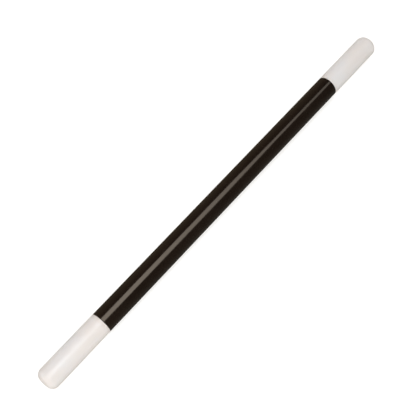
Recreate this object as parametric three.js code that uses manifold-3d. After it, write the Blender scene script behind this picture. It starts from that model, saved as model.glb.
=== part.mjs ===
// A magician's wand: a hollow black barrel with a white moulded tip pushed into each end.
// Millimetres, +Z up. The wand lies on its side along X, centred over the origin, and rests on Z = 0.

import * as THREE from 'three';
import { mergeVertices } from 'three/addons/utils/BufferGeometryUtils.js';
import Module from 'manifold-3d';

const wasm = await Module();
wasm.setup();

// ---------------------------------------------------------------------------
// Driving dimensions
// ---------------------------------------------------------------------------

const wandLength = 350;         // over the two closed ends
const wandRadius = 8;           // the barrel and the tips are flush
const tipLength = 52.35;        // the part of a tip that shows
const seatGap = 0.3;            // shoulder of a tip to the barrel's end
const fitGap = 0.3;             // crest of a crush rib to the bore

const barrelWall = 1.5;
const rimRadius = 0.4;          // on the outer edge of each barrel end and of each shoulder
const mouthChamfer = 0.5;       // lead-in inside each end of the barrel

const endCornerRadius = 5;      // between a tip's side and its flat end
const spigotLength = 18;        // the part of a tip inside the barrel
const spigotWall = 1.3;
const spigotChamfer = 0.6;
const coreDraft = 0.35;         // how much narrower the core is at its closed end
const endWall = 2.4;            // left between the core and the flat end
const coreCornerRadius = 3;

const ribCount = 4;
const ribWidth = 1;
const ribHeight = 0.3;          // above the spigot
const ribStart = 1;             // from the shoulder
const ribEnd = 1.5;             // from the spigot's mouth
const ribLead = 2;              // slope at the end that enters the bore first

const sides = 32;               // facets round the axis, one of them flat on the ground
const arcSteps = 6;             // on a quarter of a large radius
const rimSteps = 2;             // on a quarter of a small one

// ---------------------------------------------------------------------------
// Worked out from them
// ---------------------------------------------------------------------------

const barrelLength = wandLength - 2 * (tipLength + seatGap);
const boreRadius = wandRadius - barrelWall;
const spigotRadius = boreRadius - fitGap - ribHeight;
const coreMouthRadius = spigotRadius - spigotWall;
const coreEndRadius = coreMouthRadius - coreDraft;

// ---------------------------------------------------------------------------
// Materials
// ---------------------------------------------------------------------------

const blackPlastic = () => new THREE.MeshStandardMaterial({
  color: 0x1f1814,
  roughness: 0.28,
  metalness: 0,
});

const whitePlastic = () => new THREE.MeshStandardMaterial({
  color: 0xe8e2dd,
  roughness: 0.42,
  metalness: 0,
});

// ---------------------------------------------------------------------------
// Geometry helpers
// ---------------------------------------------------------------------------

// Points of an arc in a turned profile. Angle 0 points away from the axis and 90 along it.
function arc(centreRadius, centreHeight, radius, fromDegrees, toDegrees, steps) {
  return Array.from({ length: steps + 1 }, (_, i) => {
    const angle = THREE.MathUtils.degToRad(fromDegrees + ((toDegrees - fromDegrees) * i) / steps);
    return new THREE.Vector2(
      centreRadius + radius * Math.cos(angle),
      centreHeight + radius * Math.sin(angle),
    );
  });
}

// Turns a profile round the Y axis. The profile runs up on the outside and down on the inside. Its
// radii are measured to the middle of the facets, so the piece is exactly that far from its axis to
// the ground it lies on.
function turned(profile) {
  const acrossFlats = 1 / Math.cos(Math.PI / sides);
  const points = profile.map((p) => new THREE.Vector2(p.x * acrossFlats, p.y));
  return new THREE.LatheGeometry(points, sides, Math.PI / sides);
}

// A closed geometry as a manifold solid. Triangles that a lathe collapses on its axis are dropped.
function toSolid(geometry) {
  const bare = geometry.clone();
  bare.deleteAttribute('normal');
  bare.deleteAttribute('uv');
  const merged = mergeVertices(bare);
  const index = merged.index.array;
  const triangles = [];
  for (let i = 0; i < index.length; i += 3) {
    const [a, b, c] = index.slice(i, i + 3);
    if (a !== b && b !== c && c !== a) triangles.push(a, b, c);
  }
  return new wasm.Manifold(new wasm.Mesh({
    numProp: 3,
    vertProperties: new Float32Array(merged.attributes.position.array),
    triVerts: new Uint32Array(triangles),
  }));
}

function toGeometry(solid) {
  const mesh = solid.getMesh();
  const geometry = new THREE.BufferGeometry();
  geometry.setAttribute('position', new THREE.BufferAttribute(mesh.vertProperties, 3));
  geometry.setIndex(new THREE.BufferAttribute(mesh.triVerts, 1));
  geometry.computeVertexNormals();
  return geometry;
}

// ---------------------------------------------------------------------------
// Barrel: a plain tube with rounded rims and chamfered mouths, centred on the origin along Y
// ---------------------------------------------------------------------------

function barrelGeometry() {
  const half = barrelLength / 2;
  const mouthRadius = boreRadius + mouthChamfer;
  const profile = [
    new THREE.Vector2(boreRadius, mouthChamfer - half),
    new THREE.Vector2(mouthRadius, -half),
    ...arc(wandRadius - rimRadius, rimRadius - half, rimRadius, -90, 0, rimSteps),
    ...arc(wandRadius - rimRadius, half - rimRadius, rimRadius, 0, 90, rimSteps),
    new THREE.Vector2(mouthRadius, half),
    new THREE.Vector2(boreRadius, half - mouthChamfer),
  ];
  return turned([...profile, profile[0]]);
}

// ---------------------------------------------------------------------------
// Tip: shoulder on Y = 0, closed end towards +Y, ribbed spigot towards -Y
// ---------------------------------------------------------------------------

function tipBody() {
  const coreEnd = tipLength - endWall;
  return turned([
    new THREE.Vector2(0, coreEnd),
    ...arc(coreEndRadius - coreCornerRadius, coreEnd - coreCornerRadius, coreCornerRadius, 90, 0, arcSteps),
    new THREE.Vector2(coreMouthRadius, -spigotLength),
    new THREE.Vector2(spigotRadius - spigotChamfer, -spigotLength),
    new THREE.Vector2(spigotRadius, spigotChamfer - spigotLength),
    new THREE.Vector2(spigotRadius, 0),
    ...arc(wandRadius - rimRadius, rimRadius, rimRadius, -90, 0, rimSteps),
    ...arc(wandRadius - endCornerRadius, tipLength - endCornerRadius, endCornerRadius, 0, 90, arcSteps),
    new THREE.Vector2(0, tipLength),
  ]);
}

// One crush rib, standing on the spigot on its +X side.
function rib() {
  const root = spigotRadius - spigotWall / 2;
  const crest = spigotRadius + ribHeight;
  const outline = new THREE.Shape([
    new THREE.Vector2(root, -ribStart),
    new THREE.Vector2(root, ribEnd - spigotLength),
    new THREE.Vector2(spigotRadius, ribEnd - spigotLength),
    new THREE.Vector2(crest, ribEnd + ribLead - spigotLength),
    new THREE.Vector2(crest, -ribStart),
  ]);
  const geometry = new THREE.ExtrudeGeometry(outline, { depth: ribWidth, bevelEnabled: false });
  return geometry.translate(0, 0, -ribWidth / 2);
}

function tipGeometry() {
  let solid = toSolid(tipBody());
  for (let i = 0; i < ribCount; i += 1) {
    const angle = (2 * Math.PI * i) / ribCount;
    solid = solid.add(toSolid(rib().rotateY(angle)));
  }
  return toGeometry(solid);
}

// ---------------------------------------------------------------------------
// Assembly
// ---------------------------------------------------------------------------

function piece(name, geometry, material) {
  const mesh = new THREE.Mesh(geometry, material);
  mesh.name = name;
  return mesh;
}

const seat = barrelLength / 2 + seatGap;

const barrel = piece('barrel', barrelGeometry(), blackPlastic());

// The two tips are the same moulding, one at each end.
const tip = tipGeometry();

const farTip = piece('far_tip', tip, whitePlastic());
farTip.position.y = seat;

const nearTip = piece('near_tip', tip, whitePlastic());
nearTip.position.y = -seat;
nearTip.rotation.z = Math.PI;

// Every piece above is turned about Y. The group lays that axis along +X at the height of its radius.
const wand = new THREE.Group();
wand.add(barrel, farTip, nearTip);
wand.rotation.z = -Math.PI / 2;
wand.position.z = wandRadius;

export default wand;
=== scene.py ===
"""A magician's wand lying on a pale studio sweep: a glossy black tube with a white tip in each end."""

import math

import bpy
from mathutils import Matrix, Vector


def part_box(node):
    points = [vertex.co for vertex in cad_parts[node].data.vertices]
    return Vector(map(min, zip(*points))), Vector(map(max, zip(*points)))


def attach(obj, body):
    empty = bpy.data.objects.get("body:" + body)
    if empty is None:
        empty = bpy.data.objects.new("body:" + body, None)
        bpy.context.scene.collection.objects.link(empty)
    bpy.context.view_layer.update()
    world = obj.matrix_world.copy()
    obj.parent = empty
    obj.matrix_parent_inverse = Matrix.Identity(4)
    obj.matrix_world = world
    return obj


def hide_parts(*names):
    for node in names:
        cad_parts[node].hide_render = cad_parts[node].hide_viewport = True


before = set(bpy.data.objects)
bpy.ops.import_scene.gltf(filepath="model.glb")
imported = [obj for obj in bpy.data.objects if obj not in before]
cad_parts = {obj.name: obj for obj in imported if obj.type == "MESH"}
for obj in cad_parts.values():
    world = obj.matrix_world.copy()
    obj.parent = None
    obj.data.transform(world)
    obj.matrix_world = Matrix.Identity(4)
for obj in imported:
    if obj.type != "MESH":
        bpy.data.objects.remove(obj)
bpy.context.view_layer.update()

MM = 0.001

# ---------------------------------------------------------------------------
# Sizes: the places come from the frame, the sections from the design, all in metres
# ---------------------------------------------------------------------------

barrel_low, barrel_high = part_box("barrel")
far_low, far_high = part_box("far_tip")

RADIUS = (barrel_high.z - barrel_low.z) / 2
AXIS_HEIGHT = barrel_low.z + RADIUS
CAD_SEAT_GAP = 0.3 * MM                 # between a tip's shoulder and the barrel in the frame
SEAT_GAP = 0.05 * MM                    # and here, where the two butt
JOINT_X = barrel_high.x + CAD_SEAT_GAP / 2
TIP_LENGTH = far_high.x - JOINT_X - SEAT_GAP / 2
SPIGOT_LENGTH = JOINT_X + SEAT_GAP / 2 - far_low.x

BARREL_WALL = 1.5 * MM
BORE_RADIUS = RADIUS - BARREL_WALL
BARREL_RIM_RADIUS = 0.5 * MM
MOUTH_CHAMFER = 0.5 * MM

END_CORNER_RADIUS = 5 * MM
TIP_EDGE_RADIUS = 0.12 * MM
RIB_HEIGHT = 0.3 * MM
RIB_GAP = 0.3 * MM                      # crest of a rib to the bore
SPIGOT_RADIUS = BORE_RADIUS - RIB_GAP - RIB_HEIGHT
SPIGOT_CHAMFER = 0.6 * MM
SPIGOT_FILLET = 0.25 * MM
SPIGOT_WALL = 1.3 * MM
CORE_DRAFT = 0.35 * MM                  # how much narrower the core is at its closed end
CORE_MOUTH_RADIUS = SPIGOT_RADIUS - SPIGOT_WALL
CORE_END_RADIUS = CORE_MOUTH_RADIUS - CORE_DRAFT
CORE_CORNER_RADIUS = 3 * MM
END_WALL = 2.4 * MM

RIB_COUNT = 4
RIB_WIDTH = 1 * MM
RIB_FLANK = 0.2 * MM                    # how wide each side of a rib slopes
RIB_START = 1 * MM                      # from the shoulder to the full height
RIB_RUN_OUT = 0.4 * MM                  # and the slope that ends there
RIB_END = 1.5 * MM                      # from the spigot's mouth
RIB_LEAD = 2 * MM                       # slope at the end that enters the bore first

GATE_RADIUS = 1.1 * MM                  # the shallow dish round the gate, in the middle of the end
GATE_DEPTH = 0.16 * MM
GATE_SLOPE = 0.22 * MM
NUB_RADIUS = 0.4 * MM                   # what the gate leaves standing in the dish
NUB_HEIGHT = 0.08 * MM
NUB_SLOPE = 0.08 * MM

SEGMENTS = 192                          # round the axis
STATION = 2.5 * MM                      # along it, where the side is straight
ARC_STEP = 4.5                          # degrees along a large rounded edge
RIM_STEP = 15                           # and along a small one
CREASE = 28                             # degrees: a sharper edge than this isn't shaded smooth


# ---------------------------------------------------------------------------
# Turned meshes
# ---------------------------------------------------------------------------

def arc(x, r, radius, start, end, step):
    """Points (x, r) of an arc in a profile. Angle 0 points away from the axis and 90 towards +x."""
    points = []
    steps = round(abs(end - start) / step)
    for i in range(steps + 1):
        angle = math.radians(start + (end - start) * i / steps)
        points.append((x + radius * math.sin(angle), r + radius * math.cos(angle)))
    return points


def straight(start, end):
    """Points between two profile points, a station apart and without the two themselves."""
    steps = max(1, round(math.dist(start, end) / STATION))
    return [
        tuple(a + (b - a) * i / steps for a, b in zip(start, end))
        for i in range(1, steps)
    ]


def turned(name, profile, closed, side=1, swell=None):
    """A mesh piece turned round the wand's axis from a profile of (x, r) points.

    A closed profile joins its last point to its first. An open one starts and ends on the axis.
    side -1 builds the mirror image, towards -X. swell(x, r, angle) adds to the radius.
    """
    vertices, rings = [], []
    for x, r in profile:
        if r <= 0:
            rings.append([len(vertices)])
            vertices.append((side * x, 0.0, AXIS_HEIGHT))
            continue
        rings.append(list(range(len(vertices), len(vertices) + SEGMENTS)))
        for i in range(SEGMENTS):
            angle = 2 * math.pi * i / SEGMENTS
            reach = r + (swell(x, r, angle) if swell else 0)
            vertices.append((
                side * x,
                reach * math.cos(angle),
                AXIS_HEIGHT + reach * math.sin(angle),
            ))
    pairs = list(zip(rings, rings[1:]))
    if closed:
        pairs.append((rings[-1], rings[0]))
    faces = []
    for a, b in pairs:
        for i in range(SEGMENTS):
            j = (i + 1) % SEGMENTS
            corners = [a[i % len(a)], a[j % len(a)], b[j % len(b)], b[i % len(b)]]
            face = list(dict.fromkeys(corners))
            faces.append(face if side > 0 else face[::-1])
    mesh = bpy.data.meshes.new(name)
    mesh.from_pydata(vertices, [], faces)
    mesh.shade_smooth()
    mesh.set_sharp_from_angle(angle=math.radians(CREASE))
    piece = bpy.data.objects.new(name, mesh)
    bpy.context.scene.collection.objects.link(piece)
    return piece


# ---------------------------------------------------------------------------
# The pieces
# ---------------------------------------------------------------------------

def barrel_tube():
    """The extruded tube, with rolled outer rims and chamfered mouths."""
    end = JOINT_X - SEAT_GAP / 2
    mouth = BORE_RADIUS + MOUTH_CHAMFER
    rim = BARREL_RIM_RADIUS
    left_rim = arc(rim - end, RADIUS - rim, rim, -90, 0, RIM_STEP)
    right_rim = arc(end - rim, RADIUS - rim, rim, 0, 90, RIM_STEP)
    bore_right = (end - MOUTH_CHAMFER, BORE_RADIUS)
    bore_left = (MOUTH_CHAMFER - end, BORE_RADIUS)
    profile = [
        bore_left,
        (-end, mouth),
        *left_rim,
        *straight(left_rim[-1], right_rim[0]),
        *right_rim,
        (end, mouth),
        bore_right,
        *straight(bore_right, bore_left),
    ]
    return turned("barrel_tube", profile, closed=True)


def tip_profile():
    """The tip's outline from the gate in its closed end, down the outside and up the core."""
    shoulder = JOINT_X + SEAT_GAP / 2
    end = shoulder + TIP_LENGTH
    mouth = shoulder - SPIGOT_LENGTH
    core_end = end - END_WALL
    dish = end - GATE_DEPTH
    gate = [
        (dish + NUB_HEIGHT, 0),
        (dish + NUB_HEIGHT, NUB_RADIUS - NUB_SLOPE),
        (dish, NUB_RADIUS),
        (dish, GATE_RADIUS - GATE_SLOPE),
        (end, GATE_RADIUS),
    ]
    corner = arc(
        end - END_CORNER_RADIUS, RADIUS - END_CORNER_RADIUS, END_CORNER_RADIUS, 90, 0, ARC_STEP
    )
    edge = arc(
        shoulder + TIP_EDGE_RADIUS, RADIUS - TIP_EDGE_RADIUS, TIP_EDGE_RADIUS, 0, -90, 2 * RIM_STEP
    )
    fillet = arc(
        shoulder - SPIGOT_FILLET, SPIGOT_RADIUS + SPIGOT_FILLET, SPIGOT_FILLET, 90, 180, RIM_STEP
    )
    rib_top = (shoulder - RIB_START, SPIGOT_RADIUS)
    rib_bottom = (mouth + RIB_END + RIB_LEAD, SPIGOT_RADIUS)
    core_mouth = (mouth, CORE_MOUTH_RADIUS)
    core_corner = arc(
        core_end - CORE_CORNER_RADIUS, CORE_END_RADIUS - CORE_CORNER_RADIUS,
        CORE_CORNER_RADIUS, 0, 90, 2 * ARC_STEP,
    )
    return [
        *gate,
        *corner,
        *straight(corner[-1], edge[0]),
        *edge,
        *fillet,
        (shoulder - RIB_START + RIB_RUN_OUT, SPIGOT_RADIUS),
        rib_top,
        *straight(rib_top, rib_bottom),
        rib_bottom,
        (mouth + RIB_END + RIB_LEAD / 2, SPIGOT_RADIUS),
        (mouth + RIB_END, SPIGOT_RADIUS),
        (mouth + SPIGOT_CHAMFER, SPIGOT_RADIUS),
        (mouth, SPIGOT_RADIUS - SPIGOT_CHAMFER),
        core_mouth,
        *straight(core_mouth, core_corner[0]),
        *core_corner,
        (core_end, 0),
    ]


def rib_swell(x, r, angle):
    """How far a crush rib stands above the spigot at this station and angle."""
    if r < SPIGOT_RADIUS:
        return 0
    shoulder = JOINT_X + SEAT_GAP / 2
    mouth = shoulder - SPIGOT_LENGTH
    lead = (x - mouth - RIB_END) / RIB_LEAD
    run_out = (shoulder - RIB_START + RIB_RUN_OUT - x) / RIB_RUN_OUT
    along = max(0, min(1, lead, run_out))
    pitch = 2 * math.pi / RIB_COUNT
    off_centre = abs((angle + pitch / 2) % pitch - pitch / 2) * r
    across = max(0, min(1, (RIB_WIDTH / 2 - off_centre) / RIB_FLANK + 0.5))
    return RIB_HEIGHT * along * across


# ---------------------------------------------------------------------------
# Shader helpers. Sizes in them are in millimetres
# ---------------------------------------------------------------------------

HAIRLINE_FOOT = 0.68                    # a scratch starts where its noise passes this level
HAIRLINE_CREST = 0.74                   # and is at its full depth from this level up


def add_node(tree, kind, inputs=None, **settings):
    """A shader node with its settings and inputs. An input is a value, or a socket to link."""
    made = tree.nodes.new("ShaderNode" + kind)
    for key, value in settings.items():
        setattr(made, key, value)
    for key, value in (inputs or {}).items():
        if isinstance(value, bpy.types.NodeSocket):
            tree.links.new(value, made.inputs[key])
        else:
            made.inputs[key].default_value = value
    return made


def new_material(name):
    material = bpy.data.materials.new(name)
    material.use_nodes = True
    tree = material.node_tree
    return material, tree, tree.nodes["Principled BSDF"]


def own_place(tree):
    """The object's own coordinates, in metres."""
    return add_node(tree, "TexCoord").outputs["Object"]


def laid(tree, size, turn=(0, 0, 0)):
    """The object's coordinates counted in cells of this size along X, Y and Z, the cells turned."""
    return add_node(tree, "Mapping", {
        "Vector": own_place(tree),
        "Rotation": [math.radians(angle) for angle in turn],
        "Scale": [MM * s for s in size],
    }, vector_type="TEXTURE").outputs["Vector"]


def noise(tree, size, detail, turn=(0, 0, 0)):
    """Noise from 0 to 1, whose features are about this size."""
    cells = laid(tree, size, turn)
    return add_node(tree, "TexNoise", {"Vector": cells, "Scale": 1, "Detail": detail}).outputs["Fac"]


def remap(tree, value, low, high, to_low=0.0, to_high=1.0):
    """value, taken from the range low..high to the range to_low..to_high, and kept in it."""
    made = add_node(tree, "MapRange", {
        "Value": value, "From Min": low, "From Max": high, "To Min": to_low, "To Max": to_high,
    })
    return made.outputs["Result"]


def combine(tree, operation, a, b=0.0):
    """A Math node on two values, each a number or a socket."""
    return add_node(tree, "Math", {0: a, 1: b}, operation=operation).outputs[0]


def mix_colour(tree, factor, a, b):
    """Colour a where factor is 0, and b where it is 1."""
    made = add_node(tree, "Mix", {"Factor": factor}, data_type="RGBA")
    sockets = [socket for socket in made.inputs if socket.type == "RGBA"]
    for socket, value in zip(sockets, (a, b)):
        if isinstance(value, bpy.types.NodeSocket):
            tree.links.new(value, socket)
        else:
            socket.default_value = (*value, 1)
    return next(socket for socket in made.outputs if socket.type == "RGBA")


def tinted(tree, colour, mask, amount, towards):
    """The colour moved by amount towards another where the mask is 1."""
    return mix_colour(tree, combine(tree, "MULTIPLY", mask, amount), colour, towards)


def raised(tree, value, mask, amount):
    """The value with amount added where the mask is 1."""
    return combine(tree, "ADD", value, combine(tree, "MULTIPLY", mask, amount))


def from_stations(tree, station):
    """Distance along the wand from this station, or from its mirror image if that is nearer."""
    along = add_node(tree, "SeparateXYZ", {"Vector": laid(tree, size=(1, 1, 1))}).outputs["X"]
    off = combine(tree, "SUBTRACT", combine(tree, "ABSOLUTE", along), station / MM)
    return combine(tree, "ABSOLUTE", off)


def hairlines(tree, length, width, turns):
    """Fine scratches in a few directions, the crests of stretched noise: 1 on a line, 0 off it."""
    lines = 0.0
    for turn in turns:
        strands = noise(tree, size=(length, width, width), detail=1, turn=turn)
        crests = remap(tree, strands, low=HAIRLINE_FOOT, high=HAIRLINE_CREST)
        lines = combine(tree, "MAXIMUM", lines, crests)
    return lines


def bump(tree, height, distance, normal=None):
    inputs = {"Height": height, "Distance": distance * MM, "Strength": 1.0}
    if normal:
        inputs["Normal"] = normal
    return add_node(tree, "Bump", inputs).outputs["Normal"]


# ---------------------------------------------------------------------------
# Materials
# ---------------------------------------------------------------------------

BLACK_DEEP = (0.0072, 0.0043, 0.0029)
BLACK_WARM = (0.0110, 0.0068, 0.0046)
BLACK_SCUFFED = (0.060, 0.050, 0.042)
DUST = (0.20, 0.18, 0.16)
BLACK_CLEAR = 0.11                      # roughness where the haze is thin
BLACK_HAZY = 0.15                       # and where it is thick
BLACK_GLOSS_TINT = (1.0, 0.85, 0.68)
BLACK_IOR = 1.55

WHITE_COOL = (0.653, 0.630, 0.617)
WHITE_IVORY = (0.660, 0.613, 0.580)
# darker, warmer colour on the tips beside the barrel: partly grime, partly painted shade at the joint
JOINT_GRIME_AND_SHADE = (0.45, 0.36, 0.26)
SCUFF_GRIME = (0.36, 0.32, 0.28)
WHITE_SMOOTH = 0.29                     # roughness where the cast is cool
WHITE_DULL = 0.33                       # and where it is ivory
WHITE_IOR = 1.5
WHITE_TRANSLUCENCY = 0.2                # share of the light that travels under the surface
WHITE_TRAVEL = 1.2 * MM                 # how far it travels
WHITE_TRAVEL_RGB = (1.0, 0.85, 0.7)     # of which red goes all the way, and blue the least


def black_plastic():
    """Glossy extruded black: draw lines along the tube, handling haze, hairlines and dust."""
    material, tree, shader = new_material("glossy_black")
    haze = noise(tree, size=(22, 14, 14), detail=3)
    smudges = remap(tree, noise(tree, size=(11, 9, 9), detail=4), low=0.56, high=0.72)
    draw_lines = noise(tree, size=(110, 0.7, 0.7), detail=2)
    scratches = hairlines(tree, length=13, width=0.3, turns=((0, 0, 9), (0, 7, -24), (0, -31, 0)))
    specks = add_node(tree, "TexVoronoi", {"Vector": laid(tree, size=(4.5, 4.5, 4.5)), "Scale": 1})
    dust = remap(tree, specks.outputs["Distance"], low=0.02, high=0.04, to_low=1, to_high=0)
    rim = remap(tree, from_stations(tree, JOINT_X), low=0.25, high=0.9, to_low=1, to_high=0)

    colour = mix_colour(tree, haze, BLACK_DEEP, BLACK_WARM)
    colour = tinted(tree, colour, scratches, amount=0.10, towards=BLACK_SCUFFED)
    colour = tinted(tree, colour, dust, amount=0.35, towards=DUST)
    colour = tinted(tree, colour, rim, amount=0.25, towards=BLACK_SCUFFED)
    tree.links.new(colour, shader.inputs["Base Color"])

    roughness = remap(tree, haze, low=0.35, high=0.65, to_low=BLACK_CLEAR, to_high=BLACK_HAZY)
    roughness = raised(tree, roughness, smudges, amount=0.05)
    roughness = raised(tree, roughness, scratches, amount=0.08)
    roughness = raised(tree, roughness, rim, amount=0.08)
    tree.links.new(roughness, shader.inputs["Roughness"])

    surface = bump(tree, draw_lines, distance=0.004)
    surface = bump(tree, scratches, distance=-0.002, normal=surface)
    tree.links.new(surface, shader.inputs["Normal"])
    shader.inputs["IOR"].default_value = BLACK_IOR
    shader.inputs["Specular Tint"].default_value = (*BLACK_GLOSS_TINT, 1)
    return material


def white_plastic():
    """Moulded off-white, a little translucent: an uneven ivory cast, scuffs, and grime with painted
    shade at the joint.
    """
    material, tree, shader = new_material("satin_white")
    cast = remap(tree, noise(tree, size=(24, 13, 13), detail=2), low=0.3, high=0.7)
    peel = noise(tree, size=(1.4, 1.4, 1.4), detail=2)
    scratches = hairlines(tree, length=5, width=0.18, turns=((0, 0, 14), (0, 12, -38), (0, -40, 0)))
    by_an_end = remap(tree, from_stations(tree, far_high.x), low=1, high=7, to_low=1, to_high=0)
    scuffs = remap(tree, noise(tree, size=(0.9, 0.5, 0.5), detail=3), low=0.55, high=0.7)
    knocks = combine(tree, "MULTIPLY", by_an_end, scuffs)
    # grime and painted shade: spots of darker colour within 3 mm of the joint with the barrel
    by_a_joint = remap(tree, from_stations(tree, JOINT_X), low=0, high=3, to_low=1, to_high=0)
    spots = remap(tree, noise(tree, size=(2.2, 2.2, 2.2), detail=4), low=0.3, high=0.65)
    joint_grime_and_shade = combine(tree, "MULTIPLY", by_a_joint, spots)

    colour = mix_colour(tree, cast, WHITE_COOL, WHITE_IVORY)
    colour = tinted(tree, colour, joint_grime_and_shade, amount=0.32, towards=JOINT_GRIME_AND_SHADE)
    colour = tinted(tree, colour, knocks, amount=0.14, towards=SCUFF_GRIME)
    colour = tinted(tree, colour, scratches, amount=0.14, towards=SCUFF_GRIME)
    tree.links.new(colour, shader.inputs["Base Color"])

    roughness = remap(tree, cast, low=0, high=1, to_low=WHITE_SMOOTH, to_high=WHITE_DULL)
    roughness = raised(tree, roughness, scratches, amount=0.12)
    roughness = raised(tree, roughness, knocks, amount=0.15)
    tree.links.new(roughness, shader.inputs["Roughness"])

    surface = bump(tree, peel, distance=0.005)
    surface = bump(tree, scratches, distance=-0.003, normal=surface)
    surface = bump(tree, knocks, distance=-0.006, normal=surface)
    tree.links.new(surface, shader.inputs["Normal"])
    shader.inputs["IOR"].default_value = WHITE_IOR
    shader.inputs["Subsurface Weight"].default_value = WHITE_TRANSLUCENCY
    shader.inputs["Subsurface Radius"].default_value = WHITE_TRAVEL_RGB
    shader.inputs["Subsurface Scale"].default_value = WHITE_TRAVEL
    return material


# ---------------------------------------------------------------------------
# Stage and lights
# ---------------------------------------------------------------------------

FLOOR_RADIUS = 1.6                      # flat as far as this, then it curves up
FLOOR_CURVE = 1.2
WALL_TOP = 3.0
FLOOR_SEGMENTS = 96
FLOOR_WHITE = 0.42
FLOOR_TINT = (1.0, 0.985, 0.955)        # of its glow
FLOOR_GLOW = (0.66, 0.54)               # by the wand, and out at the wall
FLOOR_GLOW_SPAN = (0.6, 2.4)            # the distances between which it changes

PANEL_PLACE = (0.10, -0.125, 0.90)
PANEL_SIZE = (1.5, 0.70)
PANEL_RADIANCE = 3.45
PANEL_TINT = (0.98, 1.0, 1.03)          # of its light
PANEL_HALF_WIDTH = (0.32, 0.165)        # of its lit part, at the -X and the +X end
PANEL_TAPER_SPAN = (0.28, 0.42)         # the places along it between which the width changes
PANEL_EDGE = 0.02                       # half the width of its soft edge
PANEL_FALLOFF = 0.42                    # brightness of the +X end against the -X end
PANEL_FALLOFF_SPAN = (0.02, 0.52)

SURROUND_FRONT = (0.15, 0.05)           # brightness low down and high up, towards -Y
SURROUND_FRONT_SPAN = (-0.5, 0.3)       # the heights between which it changes, -1 to 1
SURROUND_BACK = (0.16, 0.05)            # and towards +Y
SURROUND_BACK_SPAN = (0.45, 0.8)
SURROUND_TURN = (-0.3, 0.3)             # the depths, -1 to 1, between which front turns to back
SURROUND_FRONT_TINT = (1.0, 0.97, 0.88)
SURROUND_BACK_TINT = (1.0, 0.80, 0.58)

FILL_LIGHTS = {                         # place, aim, size and power
    "near_fill": ((-0.50, -0.20, 0.28), (-0.15, 0, 0), 0.30, 0.72),
    "end_fill": ((-0.60, 0.08, 0.08), (-0.17, 0, 0), 0.30, 0.24),
    "far_fill": ((0.35, 0.45, 0.30), (0.15, 0, 0), 0.30, 0.28),
}


def sweep():
    """A plain pale floor that curves up into a wall all round."""
    outline = [(FLOOR_RADIUS / 2, 0.0)]
    outline += [
        (x, FLOOR_CURVE - r)
        for x, r in arc(FLOOR_RADIUS, 0, FLOOR_CURVE, 0, 90, 2 * ARC_STEP)
    ]
    outline.append((FLOOR_RADIUS + FLOOR_CURVE, WALL_TOP))
    vertices = [(0.0, 0.0, 0.0)]
    for reach, height in outline:
        for i in range(FLOOR_SEGMENTS):
            angle = 2 * math.pi * i / FLOOR_SEGMENTS
            vertices.append((reach * math.cos(angle), reach * math.sin(angle), height))
    faces = []
    for i in range(FLOOR_SEGMENTS):
        j = (i + 1) % FLOOR_SEGMENTS
        faces.append((0, 1 + i, 1 + j))
        for ring in range(len(outline) - 1):
            inner = 1 + ring * FLOOR_SEGMENTS
            outer = inner + FLOOR_SEGMENTS
            faces.append((inner + i, outer + i, outer + j, inner + j))
    mesh = bpy.data.meshes.new("studio_sweep")
    mesh.from_pydata(vertices, [], faces)
    mesh.shade_smooth()
    mesh.materials.append(sweep_material())
    floor = bpy.data.objects.new("studio_sweep", mesh)
    bpy.context.scene.collection.objects.link(floor)
    floor.visible_glossy = False


def sweep_material():
    """Matt white, lit a little from within so that the wand's shadow stays faint."""
    material, tree, shader = new_material("studio_white")
    shader.inputs["Base Color"].default_value = (FLOOR_WHITE, FLOOR_WHITE, FLOOR_WHITE, 1)
    shader.inputs["Roughness"].default_value = 1.0
    shader.inputs["Specular IOR Level"].default_value = 0.0
    shader.inputs["Emission Color"].default_value = (*FLOOR_TINT, 1)
    reach = add_node(tree, "VectorMath", {"Vector": own_place(tree)}, operation="LENGTH")
    glow = remap(tree, reach.outputs["Value"], *FLOOR_GLOW_SPAN, *FLOOR_GLOW)
    tree.links.new(glow, shader.inputs["Emission Strength"])
    return material


def softbox_panel():
    """The overhead softbox, dimmer and narrower towards its +X end."""
    x, y = PANEL_SIZE[0] / 2, PANEL_SIZE[1] / 2
    mesh = bpy.data.meshes.new("softbox_panel")
    mesh.from_pydata([(-x, -y, 0), (-x, y, 0), (x, y, 0), (x, -y, 0)], [], [(0, 1, 2, 3)])
    mesh.materials.append(softbox_material())
    panel = bpy.data.objects.new("softbox_panel", mesh)
    panel.location = PANEL_PLACE
    bpy.context.scene.collection.objects.link(panel)
    panel.visible_camera = False


def softbox_material():
    material = bpy.data.materials.new("softbox_light")
    material.use_nodes = True
    tree = material.node_tree
    tree.nodes.clear()
    split = add_node(tree, "SeparateXYZ", {"Vector": own_place(tree)})
    along = split.outputs["X"]
    off_centre = combine(tree, "ABSOLUTE", split.outputs["Y"])
    half_width = remap(tree, along, *PANEL_TAPER_SPAN, *PANEL_HALF_WIDTH)
    past_edge = combine(tree, "SUBTRACT", off_centre, half_width)
    lit = remap(tree, past_edge, low=-PANEL_EDGE, high=PANEL_EDGE, to_low=1, to_high=0)
    falloff = remap(tree, along, *PANEL_FALLOFF_SPAN, to_low=1, to_high=PANEL_FALLOFF)
    strength = combine(tree, "MULTIPLY", combine(tree, "MULTIPLY", lit, falloff), PANEL_RADIANCE)
    light = add_node(tree, "Emission", {"Color": (*PANEL_TINT, 1), "Strength": strength})
    add_node(tree, "OutputMaterial", {"Surface": light.outputs["Emission"]})
    return material


def fill_light(name, place, aim, size, power):
    """A round soft light that neither the camera nor reflections show."""
    light = bpy.data.lights.new(name, "AREA")
    light.shape = "DISK"
    light.size = size
    light.energy = power
    lamp = bpy.data.objects.new(name, light)
    lamp.location = place
    lamp.rotation_euler = (Vector(place) - Vector(aim)).to_track_quat("Z", "Y").to_euler()
    lamp.visible_glossy = False
    lamp.visible_camera = False
    bpy.context.scene.collection.objects.link(lamp)


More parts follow.
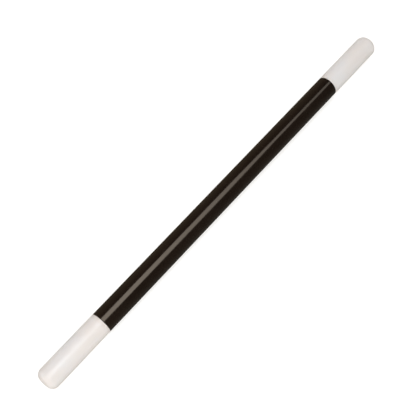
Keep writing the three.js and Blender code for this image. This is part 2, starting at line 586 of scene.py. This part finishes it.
def surround():
    """The dim studio round the wand, which the gloss shows away from the softbox."""
    made = bpy.data.worlds.new("studio_surround")
    made.use_nodes = True
    tree = made.node_tree
    direction = add_node(tree, "TexCoord").outputs["Generated"]
    split = add_node(tree, "SeparateXYZ", {"Vector": direction})
    depth, height = split.outputs["Y"], split.outputs["Z"]
    front = remap(tree, height, *SURROUND_FRONT_SPAN, *SURROUND_FRONT)
    back = remap(tree, height, *SURROUND_BACK_SPAN, *SURROUND_BACK)
    behind = remap(tree, depth, *SURROUND_TURN)
    strength = raised(tree, front, behind, combine(tree, "SUBTRACT", back, front))
    background = tree.nodes["Background"]
    tint = mix_colour(tree, behind, SURROUND_FRONT_TINT, SURROUND_BACK_TINT)
    tree.links.new(tint, background.inputs["Color"])
    tree.links.new(strength, background.inputs["Strength"])
    bpy.context.scene.world = made


# ---------------------------------------------------------------------------
# Camera
# ---------------------------------------------------------------------------

LENS = 73.56                            # on a sensor this wide
SENSOR = 36
PITCH = 63.165                          # degrees down from level
HEADING = 49.553                        # degrees from +Y towards +X
DISTANCE = 0.5956                       # from the wand's middle
AIM_LEFT = 0.01004                      # the line of sight passes this far left of the middle
AIM_BELOW = 0.00828                     # and this far below it, as the camera sees it
CLIP = (0.05, 20)


def camera():
    made = bpy.data.objects.new("camera", bpy.data.cameras.new("camera"))
    made.data.lens = LENS
    made.data.sensor_width = SENSOR
    made.data.clip_start, made.data.clip_end = CLIP
    made.rotation_euler = (math.radians(90 - PITCH), 0, math.radians(-HEADING))
    turn = made.rotation_euler.to_matrix()
    middle = Vector((0, 0, AXIS_HEIGHT))
    made.location = middle + turn @ Vector((-AIM_LEFT, -AIM_BELOW, DISTANCE))
    bpy.context.scene.collection.objects.link(made)
    bpy.context.scene.camera = made


# ---------------------------------------------------------------------------
# The scene
# ---------------------------------------------------------------------------

black = black_plastic()
white = white_plastic()

barrel = barrel_tube()
near_tip = turned("near_tip_moulding", tip_profile(), closed=False, side=-1, swell=rib_swell)
far_tip = turned("far_tip_moulding", tip_profile(), closed=False, side=1, swell=rib_swell)

for piece, body, material, slot in (
    (barrel, "barrel", black, "black_plastic"),
    (near_tip, "near_tip", white, "white_plastic"),
    (far_tip, "far_tip", white, "white_plastic"),
):
    piece.data.materials.append(material)
    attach(piece, body)
    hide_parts(body)

sweep()
surround()
softbox_panel()
for name, (place, aim, size, power) in FILL_LIGHTS.items():
    fill_light(name, place, aim, size, power)
camera()
bpy.context.scene.view_settings.view_transform = "Standard"
